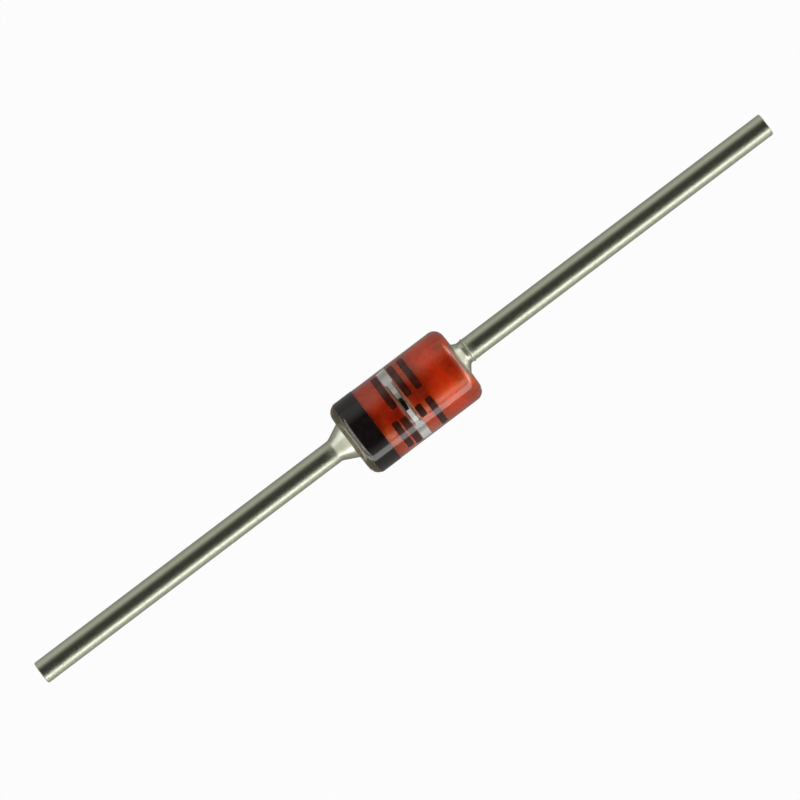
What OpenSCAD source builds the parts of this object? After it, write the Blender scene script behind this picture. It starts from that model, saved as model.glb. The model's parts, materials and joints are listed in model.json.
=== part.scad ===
// Axial zener diode in a fused glass sleeve, millimetres.
// The axis runs along X with the cathode at -X, and the print faces +Z.

/* [Glass sleeve] */
// Outside diameter of the glass
glass_d = 2.52; // [2.2:0.02:2.7]
// Length of the glass over its rounded rims
glass_len = 4.2; // [3.8:0.05:5.2]
// Radius of the fire-rounded rims
rim_r = 0.34; // [0.2:0.02:0.4]

/* [Plugs] */
// Diameter of the plugs that the glass is fused to
plug_d = 1.56; // [1.4:0.02:1.64]
// Rounding of the plugs' outer edges, at the leads
plug_edge_r = 0.03; // [0.02:0.01:0.06]
// Rounding of the plugs' noses, at the chip
plug_nose_r = 0.1; // [0.04:0.01:0.16]
// Depth of the cathode plug's outer face under the end of the glass
cathode_cover = 0.24; // [0.1:0.02:0.3]
// Depth of the anode plug's outer face under the end of the glass
anode_cover = 0.18; // [0.06:0.02:0.3]

/* [Chip] */
// Side of the square silicon chip
die_w = 0.4; // [0.3:0.02:0.8]
// Thickness of the silicon chip
die_t = 0.12; // [0.08:0.01:0.2]
// Turn of the chip about the axis of the sleeve
die_turn = 6; // [0:1:45]
// Diameter of the silver button on the chip
bump_d = 0.24; // [0.16:0.02:0.28]
// Height of the silver button
bump_h = 0.02; // [0.02:0.01:0.1]
// Thickness of the silver contact on the chip's back
back_metal_t = 0.01; // [0.01:0.005:0.04]
// Distance of the chip from the middle of the glass, towards the cathode
chip_shift = 0.09; // [0:0.01:0.2]

/* [Leads] */
// Diameter of the tinned wire
lead_d = 0.75; // [0.6:0.01:0.86]
// Length of each lead outside the glass
lead_len = 11.65; // [6:0.05:30]
// Sideways offset of the leads from the axis of the glass
lead_shift = 0.12; // [0:0.01:0.15]
// Bevel round the cut end of the wire
lead_cut_bevel = 0.02; // [0.01:0.01:0.1]
// Diameter of the cathode lead's weld flare where it leaves the glass
cathode_flare_d = 1.24; // [1:0.02:1.26]
// Length of the cathode lead's weld flare outside the glass
cathode_flare_len = 0.6; // [0.3:0.05:0.9]
// Radius that blends the cathode lead's weld flare into the wire
cathode_blend_r = 0.45; // [0.1:0.05:0.6]
// Diameter of the anode lead's weld flare where it leaves the glass
anode_flare_d = 1.08; // [1:0.02:1.26]
// Length of the anode lead's weld flare outside the glass
anode_flare_len = 0.3; // [0.2:0.02:0.9]
// Radius that blends the anode lead's weld flare into the wire
anode_blend_r = 0.2; // [0.1:0.05:0.6]
// Sideways offset of the anode lead's weld flare from the axis of the glass
anode_flare_shift = 0.03; // [0:0.01:0.1]
// Radius of the bead round the wire at the end of the anode lead's weld flare
anode_bead_r = 0.03; // [0.02:0.005:0.04]

/* [Print] */
// Thickness of the printed ink
ink_t = 0.01; // [0.005:0.005:0.04]
// Distance of the cathode band from the end of the glass
band_inset = 0.24; // [0.1:0.02:0.3]
// Width of the cathode band
band_w = 0.72; // [0.4:0.01:0.9]
// Width of a printed bar along the axis
bar_w = 0.22; // [0.1:0.02:0.24]
// Pitch along the axis of the printed bars on the cathode side
cathode_bar_pitch = 0.28; // [0.26:0.01:0.36]
// Pitch along the axis of the printed bars on the anode side
anode_bar_pitch = 0.38; // [0.26:0.01:0.42]
// Distance of the bars from the middle of the gap between the plugs
bar_inset = 0.18; // [0.06:0.01:0.2]

/* [Hidden] */
$fn = 96;

CATHODE = "cathode";
ANODE = "anode";
function outward(end) = end == CATHODE ? -1 : 1;

glass_r = glass_d / 2;
glass_half = glass_len / 2;
plug_r = plug_d / 2;
lead_r = lead_d / 2;
// Depth to which the anode lead's weld flare runs into its wire, and the flare's radius there
anode_neck_sink = 0.02;
anode_neck_r = lead_r - abs(lead_shift - anode_flare_shift) - anode_neck_sink;

// Places along the axis, from the cathode plug's outer face to the anode plug's
gap_len = back_metal_t + die_t + bump_h;
cathode_plug_out = -glass_half + cathode_cover;
cathode_plug_in = -chip_shift - gap_len / 2;
die_back = cathode_plug_in + back_metal_t;
die_front = die_back + die_t;
anode_plug_in = die_front + bump_h;
anode_plug_out = glass_half - anode_cover;

// Printed bars in each line out from the gap: start and sweep in degrees round the axis,
// from +Z towards -Y
CATHODE_BAR_ANGLES = [[[-66, 64], [14, 58]], [[12, 54]]];
ANODE_BAR_ANGLES = [[[-66, 62], [12, 20]], [[-66, 62], [12, 60]]];
// Angle of +Z in a turned profile
TOP_ANGLE = 180;

glass_colour = [0.86, 0.89, 0.85, 0.35];
plug_colour = [0.6, 0.13, 0.03];
tin_colour = [0.72, 0.72, 0.64];
silicon_colour = [0.14, 0.13, 0.15];
silver_colour = [0.82, 0.82, 0.8];
ink_colour = [0.07, 0.06, 0.07];

// Turns a profile round the X axis: in the profile x is the radius and y is the place along X
module turned(sweep = 360, start = 0) {
    rotate([0, 90, 0]) rotate_extrude(angle = sweep, start = start) children();
}

// Half outline of the sleeve's outside, grown evenly by a skin
module sleeve_outline(skin = 0) {
    corner_r = rim_r + skin;
    side_r = glass_r + skin;
    end_x = glass_half + skin;
    translate([0, -end_x]) square([side_r - corner_r, 2 * end_x]);
    translate([0, -end_x + corner_r]) square([side_r, 2 * (end_x - corner_r)]);
    for (end = [CATHODE, ANODE])
        translate([side_r - corner_r, outward(end) * (end_x - corner_r)]) circle(corner_r);
}

// Half outline of a plain rod between two places along the axis
module rod_outline(r, one, other) {
    translate([0, min(one, other)]) square([r, abs(other - one)]);
}

// Half outline of a plug from its outer face to its nose, with rounded edges
module plug_outline(end, outer_face, nose_face) {
    outer_edge = outer_face - outward(end) * plug_edge_r;
    nose_edge = nose_face + outward(end) * plug_nose_r;
    rod_outline(plug_r - plug_edge_r, outer_face, outer_edge);
    rod_outline(plug_r, outer_edge, nose_edge);
    rod_outline(plug_r - plug_nose_r, nose_edge, nose_face);
    translate([plug_r - plug_edge_r, outer_edge]) circle(plug_edge_r);
    translate([plug_r - plug_nose_r, nose_edge]) circle(plug_nose_r);
}

module cathode_plug_outline() {
    plug_outline(CATHODE, cathode_plug_out, cathode_plug_in);
}

module anode_plug_outline() {
    plug_outline(ANODE, anode_plug_out, anode_plug_in);
}

// Half outline of the bore that the plugs and the gap between their noses fill
module bore_outline() {
    cathode_plug_outline();
    anode_plug_outline();
    rod_outline(plug_r, cathode_plug_in - plug_nose_r, anode_plug_in + plug_nose_r);
}

// Puts a lead's profile at its end of the sleeve, with y from the plug's outer face outwards
module at_end(end, cover, shift) {
    translate([0, shift, 0])
        rotate([0, 0, end == CATHODE ? 180 : 0])
            translate([glass_half - cover, 0, 0]) children();
}

// Point where the line from p touches a circle on its side nearer the axis
function touch_point(p, centre, r) =
    let (
        to_centre = centre - p,
        distance = norm(to_centre),
        reach = sqrt(max(0, distance * distance - r * r)),
        turn = asin(min(1, r / distance)),
        heading = atan2(to_centre[1], to_centre[0]) + turn
    )
    p + reach * [cos(heading), sin(heading)];

// Half outline of a lead's wire, from the end of the glass, inside its weld flare, to the cut end
module wire_outline(cover) {
    tip = cover + lead_len;
    polygon([
        [0, cover], [lead_r, cover], [lead_r, tip - lead_cut_bevel],
        [lead_r - lead_cut_bevel, tip], [0, tip],
    ]);
}

// Half outline of a butt-weld flare that fills the mouth of the glass, cones down and blends into a neck
module flare_outline(cover, flare_d, flare_len, blend_r, neck_r) {
    foot_r = flare_d / 2;
    rise = foot_r - neck_r;
    widest_blend_r = (flare_len * flare_len + rise * rise) / (2 * rise);
    r = min(blend_r, widest_blend_r);
    foot = [foot_r, cover];
    flare_end = cover + flare_len;
    blend_centre = [neck_r + r, flare_end];
    difference() {
        polygon([
            [0, 0], [foot_r, 0], foot, touch_point(foot, blend_centre, r),
            [neck_r, flare_end], [0, flare_end],
        ]);
        translate(blend_centre) circle(r);
    }
}

// Mouth of the glass at one end, filled by the foot of the lead's weld flare
module mouth(end, cover, flare_d, shift) {
    at_end(end, cover, shift) turned() square([flare_d / 2, cover]);
}

module glass_envelope() {
    color(glass_colour) difference() {
        turned() sleeve_outline();
        turned() bore_outline();
        mouth(CATHODE, cathode_cover, cathode_flare_d, lead_shift);
        mouth(ANODE, anode_cover, anode_flare_d, anode_flare_shift);
    }
}

module cathode_plug() {
    color(plug_colour) turned() cathode_plug_outline();
}

module anode_plug() {
    color(plug_colour) turned() anode_plug_outline();
}

// The cathode lead's weld flare is centred on its wire
module cathode_lead() {
    color(tin_colour) at_end(CATHODE, cathode_cover, lead_shift) turned() {
        wire_outline(cathode_cover);
        flare_outline(cathode_cover, cathode_flare_d, cathode_flare_len, cathode_blend_r, lead_r);
    }
}

// The anode lead's weld flare sits to one side of its wire and ends in a bead
module anode_lead() {
    color(tin_colour) {
        at_end(ANODE, anode_cover, lead_shift) turned() {
            wire_outline(anode_cover);
            translate([lead_r, anode_cover + anode_flare_len + anode_bead_r]) circle(anode_bead_r);
        }
        at_end(ANODE, anode_cover, anode_flare_shift) turned()
            flare_outline(anode_cover, anode_flare_d, anode_flare_len, anode_blend_r, anode_neck_r);
    }
}

// Square plate of the chip's outline, standing across the axis
module chip_plate(from, thickness) {
    translate([from + thickness / 2, 0, 0])
        rotate([die_turn, 0, 0]) cube([thickness, die_w, die_w], center = true);
}

module silicon_die() {
    color(silicon_colour) chip_plate(die_back, die_t);
}

module cathode_metal() {
    color(silver_colour) chip_plate(cathode_plug_in, back_metal_t);
}

module anode_bump() {
    color(silver_colour) turned() translate([0, die_front]) square([bump_d / 2, bump_h]);
}

module cathode_band() {
    color(ink_colour) turned() intersection() {
        difference() {
            sleeve_outline(ink_t);
            sleeve_outline();
        }
        translate([0, -glass_half + band_inset]) square([glass_d, band_w]);
    }
}

// One bar of ink on the sleeve, centred at a place along the axis
module ink_bar(place, start, sweep) {
    turned(sweep, TOP_ANGLE + start) translate([glass_r, place - bar_w / 2]) square([ink_t, bar_w]);
}

// Lines of bars that step away from the gap towards one end
module bar_lines(end, lines, pitch) {
    for (line = [0 : len(lines) - 1]) {
        step = bar_inset + bar_w / 2 + line * pitch;
        for (bar = lines[line]) ink_bar(outward(end) * step - chip_shift, bar[0], bar[1]);
    }
}

module ink_marks() {
    color(ink_colour) {
        bar_lines(CATHODE, CATHODE_BAR_ANGLES, cathode_bar_pitch);
        bar_lines(ANODE, ANODE_BAR_ANGLES, anode_bar_pitch);
    }
}

glass_envelope();
cathode_plug();
anode_plug();
cathode_lead();
anode_lead();
silicon_die();
anode_bump();
cathode_metal();
cathode_band();
ink_marks();
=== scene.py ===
"""Axial zener diode in a fused glass sleeve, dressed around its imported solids."""
import json
import math

import bmesh
import bpy
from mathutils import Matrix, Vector


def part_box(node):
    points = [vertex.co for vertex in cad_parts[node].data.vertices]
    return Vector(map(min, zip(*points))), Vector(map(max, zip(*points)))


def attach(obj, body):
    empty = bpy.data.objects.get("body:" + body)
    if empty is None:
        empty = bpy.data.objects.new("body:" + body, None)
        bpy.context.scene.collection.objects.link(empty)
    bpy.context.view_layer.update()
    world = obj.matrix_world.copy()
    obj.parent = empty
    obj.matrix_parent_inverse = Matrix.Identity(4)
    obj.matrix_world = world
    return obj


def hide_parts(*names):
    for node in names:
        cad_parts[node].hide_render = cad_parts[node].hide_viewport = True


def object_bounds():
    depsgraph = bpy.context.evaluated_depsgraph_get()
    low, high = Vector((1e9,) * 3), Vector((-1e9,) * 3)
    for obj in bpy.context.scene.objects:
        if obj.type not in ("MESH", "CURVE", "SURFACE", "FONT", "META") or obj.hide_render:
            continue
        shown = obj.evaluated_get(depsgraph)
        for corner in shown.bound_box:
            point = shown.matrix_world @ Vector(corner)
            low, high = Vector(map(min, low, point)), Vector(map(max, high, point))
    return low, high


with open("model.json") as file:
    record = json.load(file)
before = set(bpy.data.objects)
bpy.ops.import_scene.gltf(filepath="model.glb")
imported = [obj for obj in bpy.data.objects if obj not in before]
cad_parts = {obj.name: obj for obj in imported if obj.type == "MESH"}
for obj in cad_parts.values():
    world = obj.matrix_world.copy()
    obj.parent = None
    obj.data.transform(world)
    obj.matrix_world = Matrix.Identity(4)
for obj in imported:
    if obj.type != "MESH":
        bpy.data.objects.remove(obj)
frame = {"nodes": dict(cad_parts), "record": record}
cad_box = [list(corner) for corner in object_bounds()]

MM = 0.001
BODY = "root"
# The two ends of the part, and which way each points along X
ENDS = {"cathode": -1, "anode": 1}

# Camera, from the photograph: the part lies at a slant, seen from straight above
IMAGE_PX = 800
PX_PER_MM = 33.04
AXIS_SLANT = math.radians(37.15)
BODY_CENTRE_PX = (406.1, 401.8)
LENS_MM = 200
SENSOR_MM = 36
CLIP_NEAR = 1 * MM
CLIP_FAR = 4.0

# Studio
FLOOR_HALF = 1.5
STRIP_DISTANCE = 0.1
STRIP_LENGTH = 0.24
# Level of the floor and the background as the camera sees them, just under full white
WHITE = 0.97

# Fine meshes
ROUND_STEPS = 192
ARC_STEPS = 12
BLEND_STEPS = 24
SMOOTH_ANGLE = math.radians(20)
BAR_STEP = math.radians(1.5)
BAR_MIN_STEPS = 8
# Radius of a bar's corners, as a share of half its width
BAR_CORNER = 0.45
# Sealed pieces reach this far into the glass, so that no film of air shows between them
SEAL_OVERLAP = 0.003 * MM
# Places closer than this count as one
SAME_PLACE = 1e-7

# Colours: a pair is the dark and the light patches of an uneven surface
TIN_DRAWN = ((0.86, 0.89, 0.72), (0.9, 0.93, 0.76))
TIN_WELDED = ((0.72, 0.74, 0.62), (0.82, 0.84, 0.71))
TIN_AT_GLASS = (0.93, 0.95, 0.79)
TIN_TINT = (0.55, 0.57, 0.48)
OXIDE = ((0.38, 0.003, 0.0002), (0.74, 0.01, 0.0003))
OXIDE_SPECK = (0.7, 0.2, 0.05)
OXIDE_TINT = (1.0, 0.45, 0.25)
COPPER = (0.95, 0.34, 0.01)
# Dull brown of the plugs' noses, where they face each other across the gap
DULL_BROWN_NOSE = ((0.25, 0.085, 0.055), (0.36, 0.14, 0.09))
GLASS = (0.97, 0.98, 0.96)
GLASS_SHADOW = (0.9, 0.92, 0.88)
BAND_INK = ((0.004, 0.003, 0.003), (0.008, 0.005, 0.006))
BAR_INK = ((0.022, 0.004, 0.003), (0.05, 0.008, 0.005))
SILICON = ((0.006, 0.005, 0.005), (0.02, 0.016, 0.015))
SILVER = ((0.6, 0.6, 0.58), (0.78, 0.78, 0.76))
PAPER = (0.2, 0.19, 0.175)
WORLD_OVERHEAD = (0.014, 0.014, 0.01)
WORLD_PALE = (0.84, 0.84, 0.78)
WORLD_CORNER = (1.2, 1.2, 1.15)

# How the oxide differs between the two plugs, see plug_oxide. warmest is painted light: it lightens a zone
# along each plug, less on the cathode plug
PLUG_LOOKS = {
    "cathode": {
        "copper_share": 0.16,
        "warmest": 0.05,
        "glow_at": 0.5,
        "bare_depth": (0.24, 0.08),
        "bare": (0.22, 0.19, 0.1),
        "lip": (0.2, 0.18, 0.13),
    },
    "anode": {
        "copper_share": 0.18,
        "warmest": 0.25,
        "glow_at": 0.61,
        "bare_depth": (0.08, 0.05),
        "bare": (0.14, 0.075, 0.05),
        "lip": (0.8, 0.72, 0.62),
    },
}


def read_sizes():
    """Sizes of the turned pieces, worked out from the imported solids."""
    mounts = {mount["name"]: mount for mount in frame["record"]["mounts"]}
    glass_lo, glass_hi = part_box("glass_envelope")
    glass_r = (glass_hi.z - glass_lo.z) / 2
    sizes = {
        "glass_r": glass_r,
        "glass_half": glass_hi.x,
        "rim_r": glass_r - end_face_radius("glass_envelope", glass_hi.x, 0),
        "ink_thickness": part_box("cathode_band")[1].z - glass_r,
        "lead_y": mounts["anode_lead"]["pos_m"][1],
        "lead_r": mounts["anode_lead"]["dims"]["r_mm"] * MM,
        "ground_z": cad_box[0][2],
    }
    for end, outward in ENDS.items():
        plug_lo, plug_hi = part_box(f"{end}_plug")
        lead_lo, lead_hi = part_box(f"{end}_lead")
        plug_r = (plug_hi.z - plug_lo.z) / 2
        plug_out, plug_in = (plug_lo.x, plug_hi.x) if outward < 0 else (plug_hi.x, plug_lo.x)
        tip = lead_lo.x if outward < 0 else lead_hi.x
        bevel = sizes["lead_r"] - end_face_radius(f"{end}_lead", tip, sizes["lead_y"])
        straight_start = abs(tip) - bevel - mounts[f"{end}_lead"]["dims"]["length_mm"] * MM
        bead_r = bead_height(f"{end}_lead", straight_start, sizes) if end == "anode" else 0.0
        foot_r = (lead_hi.z - lead_lo.z) / 2
        flare_y = lead_lo.y + foot_r
        sizes[end] = {
            "outward": outward,
            "plug_r": plug_r,
            "plug_out": plug_out,
            "plug_in": plug_in,
            "plug_edge_r": plug_r - end_face_radius(f"{end}_plug", plug_out, 0),
            "plug_nose_r": plug_r - end_face_radius(f"{end}_plug", plug_in, 0),
            "foot_r": foot_r,
            "flare_y": flare_y,
            "flare_len": straight_start - sizes["glass_half"] - 2 * bead_r,
            "cone_end": cone_end(f"{end}_lead", sizes["glass_half"], flare_y, foot_r),
            "bead_r": bead_r,
            "tip": tip,
            "bevel": bevel,
        }
    return sizes


def end_face_radius(node, x, axis_y):
    """Radius of the flat face that ends a turned node at x."""
    radii = [
        math.hypot(v.co.y - axis_y, v.co.z)
        for v in frame["nodes"][node].data.vertices
        if abs(v.co.x - x) < SAME_PLACE
    ]
    return max(radii)


def cone_end(node, glass_half, axis_y, foot_r):
    """Distance from the glass and radius of the ring where a lead's weld cone ends, on its -Y side."""
    clear_of_glass = glass_half + 0.01 * MM
    tolerance = 0.001 * MM
    rings = sorted(
        (abs(v.co.x) - glass_half, math.hypot(v.co.y - axis_y, v.co.z))
        for v in frame["nodes"][node].data.vertices
        if abs(v.co.x) > clear_of_glass and v.co.y - axis_y < -abs(v.co.z)
    )
    first_x, first_r = rings[0]
    slope = (first_r - foot_r) / first_x
    return max((x, r) for x, r in rings if abs(foot_r + slope * x - r) < tolerance)


def bead_height(node, straight_start, sizes):
    """Height of the bead that rings a lead's wire just before its straight stretch."""
    search_len = 0.08 * MM
    radii = [
        math.hypot(v.co.y - sizes["lead_y"], v.co.z)
        for v in frame["nodes"][node].data.vertices
        if straight_start - search_len < abs(v.co.x) < straight_start
    ]
    return max(radii) - sizes["lead_r"]


def arc(centre, radius, start, end, steps=ARC_STEPS):
    """Points (x, r) of an arc in the half plane of a turned profile, angles in degrees from +x."""
    points = []
    for step in range(steps + 1):
        angle = math.radians(start + (end - start) * step / steps)
        points.append((centre[0] + radius * math.cos(angle), centre[1] + radius * math.sin(angle)))
    return points


def on_axis(points, y=0.0):
    """Profile points (x, r) turned round an axis along X that lies at y."""
    return [(x, r, y) for x, r in points]


def turned_mesh(name, profile):
    """Mesh turned from (x, r, axis y) points: a closed loop, or an outline that starts on the axis."""
    bm = bmesh.new()
    rings = []
    for x, r, axis_y in profile:
        if r < SAME_PLACE:
            rings.append([bm.verts.new((x, axis_y, 0.0))])
            continue
        ring = []
        for step in range(ROUND_STEPS):
            angle = 2 * math.pi * step / ROUND_STEPS
            ring.append(bm.verts.new((x, axis_y + r * math.sin(angle), r * math.cos(angle))))
        rings.append(ring)
    pairs = list(zip(rings, rings[1:]))
    if len(rings[0]) > 1:
        pairs.append((rings[-1], rings[0]))
    for one, other in pairs:
        join_rings(bm, one, other)
    return finished_mesh(name, bm)


def join_rings(bm, one, other):
    """Faces between two rings, where a ring of one vertex is a point on the axis."""
    if len(one) == 1 and len(other) == 1:
        return
    for step in range(ROUND_STEPS):
        after = (step + 1) % ROUND_STEPS
        if len(one) == 1:
            bm.faces.new((one[0], other[step], other[after]))
        elif len(other) == 1:
            bm.faces.new((one[step], other[0], one[after]))
        else:
            bm.faces.new((one[step], other[step], other[after], one[after]))


def finished_mesh(name, bm):
    """Mesh with its faces turned outward, smooth apart from its sharp edges."""
    bmesh.ops.recalc_face_normals(bm, faces=bm.faces)
    mesh = bpy.data.meshes.new(name)
    bm.to_mesh(mesh)
    bm.free()
    mesh.shade_smooth()
    mesh.set_sharp_from_angle(angle=SMOOTH_ANGLE)
    return mesh


def add_object(name, data):
    added = bpy.data.objects.new(name, data)
    bpy.context.scene.collection.objects.link(added)
    return added


def add_piece(name, mesh, material, node):
    """Puts a piece in the scene in place of its CAD node."""
    piece = add_object(name, mesh)
    mesh.materials.append(material)
    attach(piece, BODY)
    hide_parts(node)


class Nodes:
    """Short way to write the node tree of a material or a world.

    A value is a number or a socket, and a colour is RGB or a socket.
    """

    def __init__(self, owner):
        owner.use_nodes = True
        self.tree = owner.node_tree
        self.tree.nodes.clear()

    def add(self, kind, inputs=None, **settings):
        node = self.tree.nodes.new(kind)
        for key, value in settings.items():
            setattr(node, key, value)
        for key, value in (inputs or {}).items():
            self.put(node.inputs[key], value)
        return node

    def put(self, socket, value):
        if isinstance(value, bpy.types.NodeSocket):
            self.tree.links.new(value, socket)
        elif socket.type == "RGBA":
            socket.default_value = (*value, 1.0)
        else:
            socket.default_value = value

    def mm_coordinates(self, stretch=(1.0, 1.0, 1.0)):
        """Object coordinates in millimetres."""
        coordinates = self.add("ShaderNodeTexCoord").outputs["Object"]
        scale = [factor / MM for factor in stretch]
        return self.add("ShaderNodeMapping", {"Vector": coordinates, "Scale": scale}).outputs["Vector"]

    def split(self, vector):
        """X, Y and Z of a vector, by name."""
        return self.add("ShaderNodeSeparateXYZ", {"Vector": vector}).outputs

    def around_x(self):
        """Direction round the X axis, across the draw lines of a wire."""
        settings = {"direction_type": "RADIAL", "axis": "X"}
        return self.add("ShaderNodeTangent", **settings).outputs["Tangent"]

    def noise(self, vector, scale, detail=3.0, roughness=0.5):
        settings = {"Vector": vector, "Scale": scale, "Detail": detail, "Roughness": roughness}
        return self.add("ShaderNodeTexNoise", settings).outputs["Fac"]

    def calc(self, operation, one, other):
        return self.add("ShaderNodeMath", {0: one, 1: other}, operation=operation).outputs[0]

    def remap(self, value, start=0.0, end=1.0, low=0.0, high=1.0, interpolation="LINEAR"):
        """Goes from low to high while a value goes from start to end."""
        inputs = {"Value": value, "From Min": start, "From Max": end, "To Min": low, "To Max": high}
        node = self.add("ShaderNodeMapRange", inputs, interpolation_type=interpolation)
        return node.outputs["Result"]

    def edge(self, value, start, end):
        """Rises smoothly from 0 to 1 while the size of a value goes from start to end."""
        size = self.add("ShaderNodeMath", {0: value}, operation="ABSOLUTE").outputs[0]
        return self.remap(size, start, end, interpolation="SMOOTHSTEP")

    def ramp(self, value, stops):
        """Colour ramp through (position, colour) stops."""
        node = self.add("ShaderNodeValToRGB", {"Fac": value})
        elements = node.color_ramp.elements
        while len(elements) < len(stops):
            elements.new(1.0)
        for element, (position, colour) in zip(elements, stops):
            element.position = position
            element.color = (*colour, 1.0)
        return node.outputs["Color"]

    def patches(self, value, colours, start=0.3, end=0.7):
        """Uneven colour between a dark and a light one."""
        dark, light = colours
        return self.ramp(value, [(start, dark), (end, light)])

    def mix(self, factor, low, high):
        """Goes from one value to another as the factor goes from 0 to 1."""
        return self.add("ShaderNodeMix", {"Factor": factor, "A": low, "B": high}).outputs["Result"]

    def mix_colour(self, factor, low, high):
        """Goes from one colour to another as the factor goes from 0 to 1."""
        node = self.add("ShaderNodeMix", {"Factor": factor}, data_type="RGBA")
        colours = [socket for socket in node.inputs if socket.type == "RGBA"]
        for socket, colour in zip(colours, (low, high)):
            self.put(socket, colour)
        return next(socket for socket in node.outputs if socket.type == "RGBA")

    def mix_shaders(self, factor, low, high):
        """Goes from one shader to another as the factor goes from 0 to 1."""
        return self.add("ShaderNodeMixShader", {"Fac": factor, 1: low, 2: high}).outputs["Shader"]

    def bump(self, height, strength, distance, under=None):
        """Bumped normal, on top of another bump if one is given."""
        settings = {"Height": height, "Strength": strength, "Distance": distance}
        if under is not None:
            settings["Normal"] = under
        return self.add("ShaderNodeBump", settings).outputs["Normal"]

    def principled(self, inputs):
        return self.add("ShaderNodeBsdfPrincipled", inputs).outputs["BSDF"]

    def output(self, shader):
        self.add("ShaderNodeOutputMaterial", {"Surface": shader})


def new_material(name):
    material = bpy.data.materials.new(name)
    return material, Nodes(material)


def tinned_wire(name, glass_end, flare_len):
    """Bright tin on drawn wire: fine draw lines, a slightly yellow grey, rippled where it was welded.

    The weld's tin is cleanest at the end of the glass and runs out on the wire beyond the flare. Both
    lengths are in millimetres, and the end of the glass is measured from the middle of the part.
    """
    material, nodes = new_material(name)
    place = nodes.mm_coordinates()
    drawn_out = nodes.mm_coordinates(stretch=(0.015, 1.0, 1.0))
    grain = nodes.noise(place, scale=28.0, detail=4.0, roughness=0.6)
    lines = nodes.noise(drawn_out, scale=40.0, detail=2.0)
    blotch = nodes.noise(place, scale=2.2)
    lumps = nodes.noise(place, scale=3.0, detail=2.0)
    flare_end = glass_end + flare_len
    x = nodes.split(place)["X"]
    off_glass = nodes.edge(x, start=glass_end, end=glass_end + 0.8 * flare_len)
    run_out = nodes.edge(x, start=glass_end + 0.7 * flare_len, end=flare_end)
    off_weld = nodes.edge(x, start=glass_end + 0.6 * flare_len, end=flare_end + 0.3)
    welded = nodes.patches(blotch, TIN_WELDED)
    around = nodes.around_x()
    fine_grain = nodes.bump(grain, strength=0.04, distance=0.003 * MM)
    wire = nodes.principled(
        {
            "Base Color": nodes.patches(blotch, TIN_DRAWN),
            "Metallic": 1.0,
            "Roughness": nodes.remap(grain, low=0.215, high=0.235),
            "Anisotropic": 1.0,
            "Tangent": around,
            "Specular Tint": TIN_TINT,
            "Normal": nodes.bump(lines, strength=0.12, distance=0.004 * MM, under=fine_grain),
        }
    )
    weld = nodes.principled(
        {
            "Base Color": nodes.mix_colour(off_glass, TIN_AT_GLASS, welded),
            "Metallic": 1.0,
            "Roughness": nodes.mix(run_out, nodes.remap(grain, low=0.3, high=0.36), 0.6),
            "Anisotropic": 0.7,
            "Anisotropic Rotation": 0.25,
            "Tangent": around,
            "Specular Tint": TIN_TINT,
            "Normal": nodes.bump(lumps, strength=0.3, distance=0.05 * MM, under=fine_grain),
        }
    )
    nodes.output(nodes.mix_shaders(off_weld, weld, wire))
    return material


def plug_oxide(name, nose_x, end_x, copper_share, warmest, glow_at, bare_depth, bare, lip):
    """Red cuprous oxide on a copper plug: mottled, with fine pale specks, and dull at the plug's nose.

    The plug runs from nose_x to its welded end at end_x, in millimetres from the middle of the part. Painted
    light lightens the oxide by warmest at the share glow_at of the way to the welded end, and it
    darkens away from there. Copper glints through over copper_share of it. Short of the welded end, between
    the two depths of bare_depth, it wears off to its bare colour, and the plug's very edge has the colour of
    the lip.
    """
    material, nodes = new_material(name)
    painted_glow_far = -0.12
    lip_depth = (0.026, 0.012)
    place = nodes.mm_coordinates()
    x = nodes.split(place)["X"]
    mottle = nodes.noise(place, scale=2.4, detail=4.0, roughness=0.55)
    # Painted light: the oxide is lightened round glow_at along the plug and darkened away from it; the
    # mottle added to it is the oxide's own
    off_painted_glow = nodes.edge(nodes.calc("SUBTRACT", x, glow_at * end_x), start=0.05, end=0.6)
    mottle_and_painted_glow = nodes.calc("ADD", mottle, nodes.mix(off_painted_glow, warmest, painted_glow_far))
    colour = nodes.patches(mottle_and_painted_glow, OXIDE, end=0.75)
    specks = nodes.add("ShaderNodeTexVoronoi", {"Vector": place, "Scale": 9.0, "Randomness": 1.0})
    off_speck = nodes.remap(specks.outputs["Distance"], start=0.1, end=0.18, low=0.45)
    colour = nodes.mix_colour(off_speck, OXIDE_SPECK, colour)
    end = abs(end_x)
    bared = nodes.edge(x, start=end - bare_depth[0], end=end - bare_depth[1])
    colour = nodes.mix_colour(bared, colour, bare)
    colour = nodes.mix_colour(nodes.edge(x, start=end - lip_depth[0], end=end - lip_depth[1]), colour, lip)
    normal = nodes.bump(nodes.noise(place, scale=30.0), strength=0.2, distance=0.005 * MM)
    around = nodes.around_x()
    skin = nodes.principled(
        {
            "Base Color": colour,
            "Metallic": 0.6,
            "Roughness": nodes.remap(nodes.noise(place, scale=14.0), low=0.32, high=0.4),
            "Anisotropic": 0.9,
            "Tangent": around,
            "Specular IOR Level": 0.2,
            "Specular Tint": OXIDE_TINT,
            "Coat Weight": 0.8,
            "Coat Roughness": 0.2,
            "Coat IOR": 1.6,
            "Normal": normal,
        }
    )
    copper = nodes.principled(
        {
            "Base Color": COPPER,
            "Metallic": 1.0,
            "Roughness": 0.32,
            "Anisotropic": 0.9,
            "Tangent": around,
            "Normal": normal,
        }
    )
    thin = nodes.remap(nodes.noise(place, scale=7.0), low=0.4 * copper_share, high=1.6 * copper_share)
    side = nodes.mix_shaders(nodes.mix(bared, thin, 0.0), skin, copper)
    nose = nodes.principled({"Base Color": nodes.patches(mottle, DULL_BROWN_NOSE), "Roughness": 0.7})
    off_nose = nodes.edge(nodes.calc("SUBTRACT", x, nose_x), start=0.07, end=0.14)
    nodes.output(nodes.mix_shaders(off_nose, nose, side))
    return material


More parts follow.
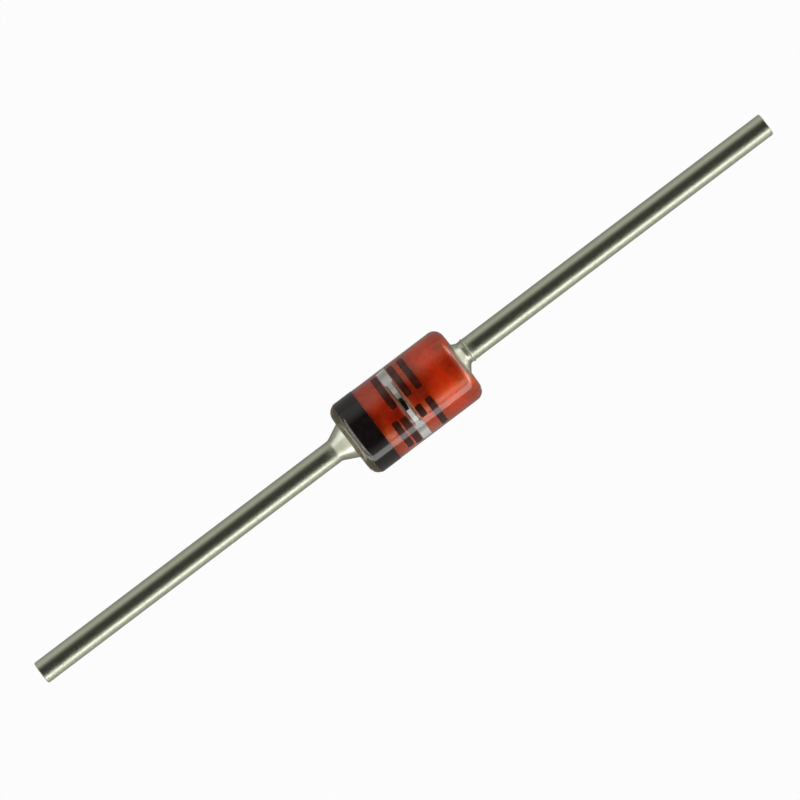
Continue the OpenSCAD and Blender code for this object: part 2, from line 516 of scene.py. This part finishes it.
def clear_glass():
    """Fire-polished glass that lets the lamps through to what it holds."""
    material, nodes = new_material("clear_glass")
    waves = nodes.noise(nodes.mm_coordinates(), scale=1.4)
    glass = nodes.principled(
        {
            "Base Color": GLASS,
            "Roughness": 0.02,
            "IOR": 1.58,
            "Transmission Weight": 1.0,
            "Normal": nodes.bump(waves, strength=0.15, distance=0.01 * MM),
        }
    )
    lamp_ray = nodes.add("ShaderNodeLightPath").outputs["Is Shadow Ray"]
    through = nodes.add("ShaderNodeBsdfTransparent", {"Color": GLASS_SHADOW}).outputs["BSDF"]
    nodes.output(nodes.mix_shaders(lamp_ray, glass, through))
    return material


def marking_ink(name, colours):
    """Fired ink, a little uneven in colour and gloss."""
    material, nodes = new_material(name)
    patch = nodes.noise(nodes.mm_coordinates(), scale=6.0)
    ink = nodes.principled(
        {
            "Base Color": nodes.patches(patch, colours, start=0.35, end=0.75),
            "Roughness": nodes.remap(patch, low=0.06, high=0.14),
            "IOR": 1.62,
        }
    )
    nodes.output(ink)
    return material


def silicon():
    """Sawn silicon edge, dark grey with fine saw lines."""
    material, nodes = new_material("silicon")
    saw = nodes.noise(nodes.mm_coordinates(stretch=(1.0, 0.1, 0.1)), scale=60.0)
    nodes.output(nodes.principled({"Base Color": nodes.patches(saw, SILICON), "Roughness": 0.45}))
    return material


def silver():
    """Matt silver contact."""
    material, nodes = new_material("silver")
    grain = nodes.noise(nodes.mm_coordinates(), scale=40.0)
    contact = {"Base Color": nodes.patches(grain, SILVER), "Metallic": 1.0, "Roughness": 0.35}
    nodes.output(nodes.principled(contact))
    return material


def glass_profile(sizes):
    """Closed loop of the sleeve's section: outer skin, mouths round the leads, bore round the plugs."""
    r = sizes["glass_r"]
    half = sizes["glass_half"]
    rim = sizes["rim_r"]
    cathode = sizes["cathode"]
    anode = sizes["anode"]
    skin = arc((-half + rim, r - rim), rim, 180, 90) + arc((half - rim, r - rim), rim, 90, 0)
    anode_mouth = [(half, anode["foot_r"]), (anode["plug_out"], anode["foot_r"])]
    cathode_mouth = [(cathode["plug_out"], cathode["foot_r"]), (-half, cathode["foot_r"])]
    edge = anode["plug_edge_r"]
    bore = arc((anode["plug_out"] - edge, anode["plug_r"] - edge), edge, 0, 90)
    edge = cathode["plug_edge_r"]
    bore += arc((cathode["plug_out"] + edge, cathode["plug_r"] - edge), edge, 90, 180)
    loop = on_axis(skin)
    loop += on_axis(anode_mouth, anode["flare_y"])
    loop += on_axis(bore)
    loop += on_axis(cathode_mouth, cathode["flare_y"])
    return loop


def plug_profile(end):
    """Outline of a plug from axis to axis, with rounded edges, sunk a little into the glass."""
    outward = end["outward"]
    r = end["plug_r"] + SEAL_OVERLAP
    edge = end["plug_edge_r"]
    nose = end["plug_nose_r"]
    plug_out = end["plug_out"] + outward * SEAL_OVERLAP
    outer_arc = arc((0.0, r - edge), edge, 0, 90)
    nose_arc = arc((0.0, r - nose), nose, 90, 180)
    outline = [(plug_out, 0.0)]
    outline += [(plug_out + outward * (x - edge), radius) for x, radius in outer_arc]
    outline += [(end["plug_in"] + outward * (x + nose), radius) for x, radius in nose_arc]
    outline.append((end["plug_in"], 0.0))
    return on_axis(outline)


def lead_profile(sizes, end):
    """Outline of a lead from axis to axis: weld foot, cone blended into the wire, bead, bevelled cut."""
    outward = end["outward"]
    lead_r = sizes["lead_r"]
    lead_y = sizes["lead_y"]
    flare_y = end["flare_y"]
    foot_r = end["foot_r"] + SEAL_OVERLAP
    bead_r = end["bead_r"]
    glass_end = outward * sizes["glass_half"]
    outline = on_axis([(end["plug_out"], 0.0), (end["plug_out"], foot_r), (glass_end, foot_r)], flare_y)
    for x, r in blend_arc(end):
        low = min(flare_y - r, lead_y - lead_r)
        high = max(flare_y + r, lead_y + lead_r)
        outline.append((glass_end + outward * x, (high - low) / 2, (high + low) / 2))
    wire = []
    if bead_r > 0:
        bead = arc((end["flare_len"] + bead_r, lead_r), bead_r, 180, 0)
        wire += [(glass_end + outward * x, r) for x, r in bead]
    tip = end["tip"]
    bevel = end["bevel"]
    wire += [(tip - outward * bevel, lead_r), (tip, lead_r - bevel), (tip, 0.0)]
    return outline + on_axis(wire, lead_y)


def blend_arc(end):
    """Points (distance from the glass, radius) of the arc that takes a weld cone into the wire."""
    cone_x, cone_r = end["cone_end"]
    fall = end["foot_r"] - cone_r
    normal = Vector((fall, cone_x)).normalized()
    blend_r = (end["flare_len"] - cone_x) / normal.x
    centre = (end["flare_len"], cone_r + normal.y * blend_r)
    start = 180 + math.degrees(math.atan2(normal.y, normal.x))
    return arc(centre, blend_r, start, 270, BLEND_STEPS)


def band_profile(sizes):
    """Closed loop of the cathode band's section, following the sleeve round its rim."""
    low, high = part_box("cathode_band")
    thickness = sizes["ink_thickness"]
    r = sizes["glass_r"]
    rim = sizes["rim_r"]
    centre = (-sizes["glass_half"] + rim, r - rim)
    outer_start = 180 - math.degrees(math.acos((centre[0] - low.x) / (rim + thickness)))
    inner_start = 180 - math.degrees(math.acos((centre[0] - low.x) / rim))
    loop = arc(centre, rim + thickness, outer_start, 90)
    loop += [(high.x, r + thickness), (high.x, r - SEAL_OVERLAP)]
    loop += arc(centre, rim - SEAL_OVERLAP, 90, inner_start)
    return on_axis(loop)


def loose_parts(mesh):
    """Groups of vertex positions, one for each separate solid of a mesh."""
    bm = bmesh.new()
    bm.from_mesh(mesh)
    bmesh.ops.remove_doubles(bm, verts=bm.verts, dist=SAME_PLACE)
    unseen = set(bm.verts)
    parts = []
    while unseen:
        stack = [unseen.pop()]
        part = []
        while stack:
            vertex = stack.pop()
            part.append(vertex.co.copy())
            for edge in vertex.link_edges:
                other = edge.other_vert(vertex)
                if other in unseen:
                    unseen.remove(other)
                    stack.append(other)
        parts.append(part)
    bm.free()
    return parts


def ink_marks_mesh(sizes):
    """Thin bars of ink bent round the sleeve, with rounded corners, where the solids have them."""
    bm = bmesh.new()
    for part in loose_parts(frame["nodes"]["ink_marks"].data):
        along = [co.x for co in part]
        angles = [math.atan2(-co.y, co.z) for co in part]
        span_x = (min(along), max(along))
        span_angle = (min(angles), max(angles))
        add_bar(bm, span_x, span_angle, sizes["glass_r"], sizes["ink_thickness"])
    return finished_mesh("InkMarks", bm)


def add_bar(bm, span_x, span_angle, radius, thickness):
    """One bar round the sleeve: a tube of four sides, closed and narrower at its two ends."""
    steps = max(BAR_MIN_STEPS, round((span_angle[1] - span_angle[0]) / BAR_STEP))
    half_x = (span_x[1] - span_x[0]) / 2
    mid_x = (span_x[0] + span_x[1]) / 2
    corner = BAR_CORNER * half_x
    rows = []
    for step in range(steps + 1):
        angle = span_angle[0] + (span_angle[1] - span_angle[0]) * step / steps
        from_end = max(0.0, min(angle - span_angle[0], span_angle[1] - angle) * radius)
        inset = 0.0
        if from_end < corner:
            inset = corner - math.sqrt(corner ** 2 - (corner - from_end) ** 2)
        row = []
        for side in (-1, 1):
            for r in (radius - SEAL_OVERLAP, radius + thickness):
                x = mid_x + side * (half_x - inset)
                row.append(bm.verts.new((x, -r * math.sin(angle), r * math.cos(angle))))
        rows.append(row)
    for one, other in zip(rows, rows[1:]):
        for a, b in ((0, 1), (1, 3), (3, 2), (2, 0)):
            bm.faces.new((one[a], one[b], other[b], other[a]))
    for row in (rows[0], rows[-1]):
        bm.faces.new((row[0], row[1], row[3], row[2]))


def build_pieces(sizes):
    """Fine pieces in place of seven nodes, and materials for the three that keep their CAD shape."""
    sleeve = turned_mesh("glass_sleeve", glass_profile(sizes))
    add_piece("glass_sleeve", sleeve, clear_glass(), "glass_envelope")
    for end in ENDS:
        nose_x = sizes[end]["plug_in"] / MM
        end_x = sizes[end]["plug_out"] / MM
        plug = turned_mesh(f"{end}_plug_fine", plug_profile(sizes[end]))
        oxide = plug_oxide(f"{end}_oxide", nose_x, end_x, **PLUG_LOOKS[end])
        add_piece(f"{end}_plug_fine", plug, oxide, f"{end}_plug")
        lead = turned_mesh(f"{end}_lead_fine", lead_profile(sizes, sizes[end]))
        tin = tinned_wire(f"{end}_tin", sizes["glass_half"] / MM, sizes[end]["flare_len"] / MM)
        add_piece(f"{end}_lead_fine", lead, tin, f"{end}_lead")
    band = turned_mesh("cathode_band_fine", band_profile(sizes))
    add_piece("cathode_band_fine", band, marking_ink("band_ink", BAND_INK), "cathode_band")
    bars = ink_marks_mesh(sizes)
    add_piece("ink_marks_fine", bars, marking_ink("bar_ink", BAR_INK), "ink_marks")
    dress_node("silicon_die", silicon())
    contact = silver()
    dress_node("cathode_metal", contact)
    dress_node("anode_bump", contact)


def dress_node(name, material):
    """Gives a CAD node that keeps its shape its own material."""
    mesh = frame["nodes"][name].data
    mesh.materials.clear()
    mesh.materials.append(material)


def add_camera():
    """Camera straight above, turned and moved so that the part lies in the image as in the photograph."""
    data = bpy.data.cameras.new("camera")
    data.lens = LENS_MM
    data.sensor_width = SENSOR_MM
    data.clip_start = CLIP_NEAR
    data.clip_end = CLIP_FAR
    camera = add_object("camera", data)
    frame_width = IMAGE_PX / PX_PER_MM * MM
    distance = frame_width / 2 / math.tan(data.angle / 2)
    right = Vector((math.cos(AXIS_SLANT), -math.sin(AXIS_SLANT), 0.0))
    up = Vector((math.sin(AXIS_SLANT), math.cos(AXIS_SLANT), 0.0))
    off_right = (IMAGE_PX / 2 - BODY_CENTRE_PX[0]) / PX_PER_MM * MM
    off_up = (BODY_CENTRE_PX[1] - IMAGE_PX / 2) / PX_PER_MM * MM
    camera.location = right * off_right + up * off_up + Vector((0.0, 0.0, distance))
    camera.rotation_euler = (0.0, 0.0, -AXIS_SLANT)
    bpy.context.scene.camera = camera


def add_floor(sizes):
    """Plain pale floor that the part lies on."""
    mesh = bpy.data.meshes.new("floor")
    corners = [(x * FLOOR_HALF, y * FLOOR_HALF, 0) for x, y in ((-1, -1), (1, -1), (1, 1), (-1, 1))]
    mesh.from_pydata(corners, [], [(0, 1, 2, 3)])
    floor = add_object("floor", mesh)
    floor.location.z = sizes["ground_z"]
    gap_x = (sizes["cathode"]["plug_in"] + sizes["anode"]["plug_in"]) / 2 / MM
    mesh.materials.append(floor_paper(gap_x))


def floor_paper(gap_x):
    """Paper that reads white to the camera, and keeps a soft shadow and a duller reflection near the part.

    The duller reflection near the part is painted shade. Seen through the glass, it carries painted light in
    front of the clear gap between the plugs, at gap_x, for the strip lamp's light, and painted shade under
    the plugs and behind the part. Places are in millimetres.
    """
    material, nodes = new_material("floor_paper")
    paper = nodes.add("ShaderNodeBsdfDiffuse", {"Color": PAPER}).outputs["BSDF"]
    glow = nodes.add("ShaderNodeEmission", {"Color": (1.0, 1.0, 1.0), "Strength": 1.0}).outputs["Emission"]
    place = nodes.split(nodes.mm_coordinates())
    # Painted shade in reflections: the floor that metal and glass mirror is dim within 10 mm of the part's
    # middle along X and pale beyond 40 mm
    mirrored = nodes.remap(nodes.edge(place["X"], start=10.0, end=40.0), low=0.1, high=0.85)
    # Painted light and shade seen through the glass: painted light in front of the clear gap for the strip
    # lamp, and painted shade behind the part and, by painted_shade_under_plugs, under the plugs away from
    # the gap
    lit = 0.5
    shade = 0.08
    painted_shade_under_plugs = 0.1
    painted_levels_front_to_back = ((-2.2, 0.12), (-1.4, lit), (-0.3, lit), (0.2, shade), (1.5, shade), (2.2, 0.2))
    reach = 3.0
    across = nodes.remap(place["Y"], start=-reach, end=reach)
    stops = [((y + reach) / (2 * reach), (level, level, level)) for y, level in painted_levels_front_to_back]
    off_gap = nodes.edge(nodes.calc("SUBTRACT", place["X"], gap_x), start=0.4, end=1.0)
    through = nodes.mix(off_gap, nodes.ramp(across, stops), painted_shade_under_plugs)
    levels = {"Is Camera Ray": WHITE, "Is Glossy Ray": mirrored, "Is Transmission Ray": through}
    path = nodes.add("ShaderNodeLightPath").outputs
    share = 0.0
    for ray, level in levels.items():
        share = nodes.calc("MAXIMUM", nodes.calc("MULTIPLY", path[ray], level), share)
    nodes.output(nodes.mix_shaders(share, paper, glow))
    return material


def add_lamp(name, azimuth, elevation, radiance, height, width=STRIP_LENGTH, distance=STRIP_DISTANCE):
    """Area lamp that looks at the part from a direction, azimuth in degrees from +X towards +Y."""
    data = bpy.data.lights.new(name, "AREA")
    data.shape = "RECTANGLE"
    data.size = width
    data.size_y = height
    data.energy = radiance * math.pi * width * height
    lamp = add_object(name, data)
    turn = math.radians(azimuth)
    rise = math.radians(elevation)
    back = Vector((math.cos(turn) * math.cos(rise), math.sin(turn) * math.cos(rise), math.sin(rise)))
    lamp.location = back * distance
    lamp.rotation_mode = "QUATERNION"
    lamp.rotation_quaternion = back.to_track_quat("Z", "Y")
    return lamp


def add_lights():
    """Soft fill, strips mirrored along the glass and round its rims, and two lamps for the leads alone."""
    fill = add_lamp("soft_fill", 90, 42, radiance=1.25, height=0.2, width=0.2, distance=0.16)
    fill.visible_glossy = False
    fill.visible_transmission = False
    body_lamps = [
        add_lamp("strip_front", -90, 13.5, radiance=2.4, height=0.034),
        add_lamp("strip_anode", 0, 20, radiance=2.0, height=0.03),
        add_lamp("strip_cathode", 180, 57, radiance=2.4, height=0.04, width=0.44),
    ]
    lead_lamps = [
        add_lamp("strip_leads", -90, 24, radiance=2.4, height=0.022),
        add_lamp("anode_weld", -37, 7, radiance=2.8, height=0.026, width=0.06),
    ]
    light_leads(body_lamps, "EXCLUDE")
    light_leads(lead_lamps, "INCLUDE")


def light_leads(lamps, link_state):
    """Lets lamps light the two leads alone, or all but them."""
    leads = bpy.data.collections.new(f"leads_{link_state.lower()}")
    for end in ENDS:
        leads.objects.link(bpy.data.objects[f"{end}_lead_fine"])
    for member in leads.collection_objects:
        member.light_linking.link_state = link_state
    for lamp in lamps:
        lamp.light_linking.receiver_collection = leads


def add_world():
    """Dark overhead, pale towards both sides and both ends of the part, white in the corners between."""
    world = bpy.data.worlds.new("studio")
    bpy.context.scene.world = world
    nodes = Nodes(world)
    side_share = 0.52
    direction = nodes.split(nodes.add("ShaderNodeTexCoord").outputs["Generated"])
    lengthwise = nodes.edge(direction["X"], start=0.25, end=0.95)
    sideways = nodes.edge(direction["Y"], start=0.62, end=0.95)
    pale = nodes.calc("MAXIMUM", lengthwise, nodes.calc("MULTIPLY", sideways, side_share))
    colour = nodes.ramp(pale, [(0.0, WORLD_OVERHEAD), (1.0, WORLD_PALE)])
    corner_x = nodes.edge(direction["X"], start=0.45, end=0.65)
    corner_y = nodes.edge(direction["Y"], start=0.36, end=0.52)
    colour = nodes.mix_colour(nodes.calc("MULTIPLY", corner_x, corner_y), colour, WORLD_CORNER)
    direct = nodes.add("ShaderNodeLightPath").outputs["Is Camera Ray"]
    colour = nodes.mix_colour(direct, colour, (WHITE, WHITE, WHITE))
    background = nodes.add("ShaderNodeBackground", {"Color": colour, "Strength": 1.0})
    nodes.add("ShaderNodeOutputWorld", {"Surface": background.outputs["Background"]})


bpy.context.scene.view_settings.view_transform = "Standard"
part_sizes = read_sizes()
add_camera()
build_pieces(part_sizes)
add_floor(part_sizes)
add_lights()
add_world()
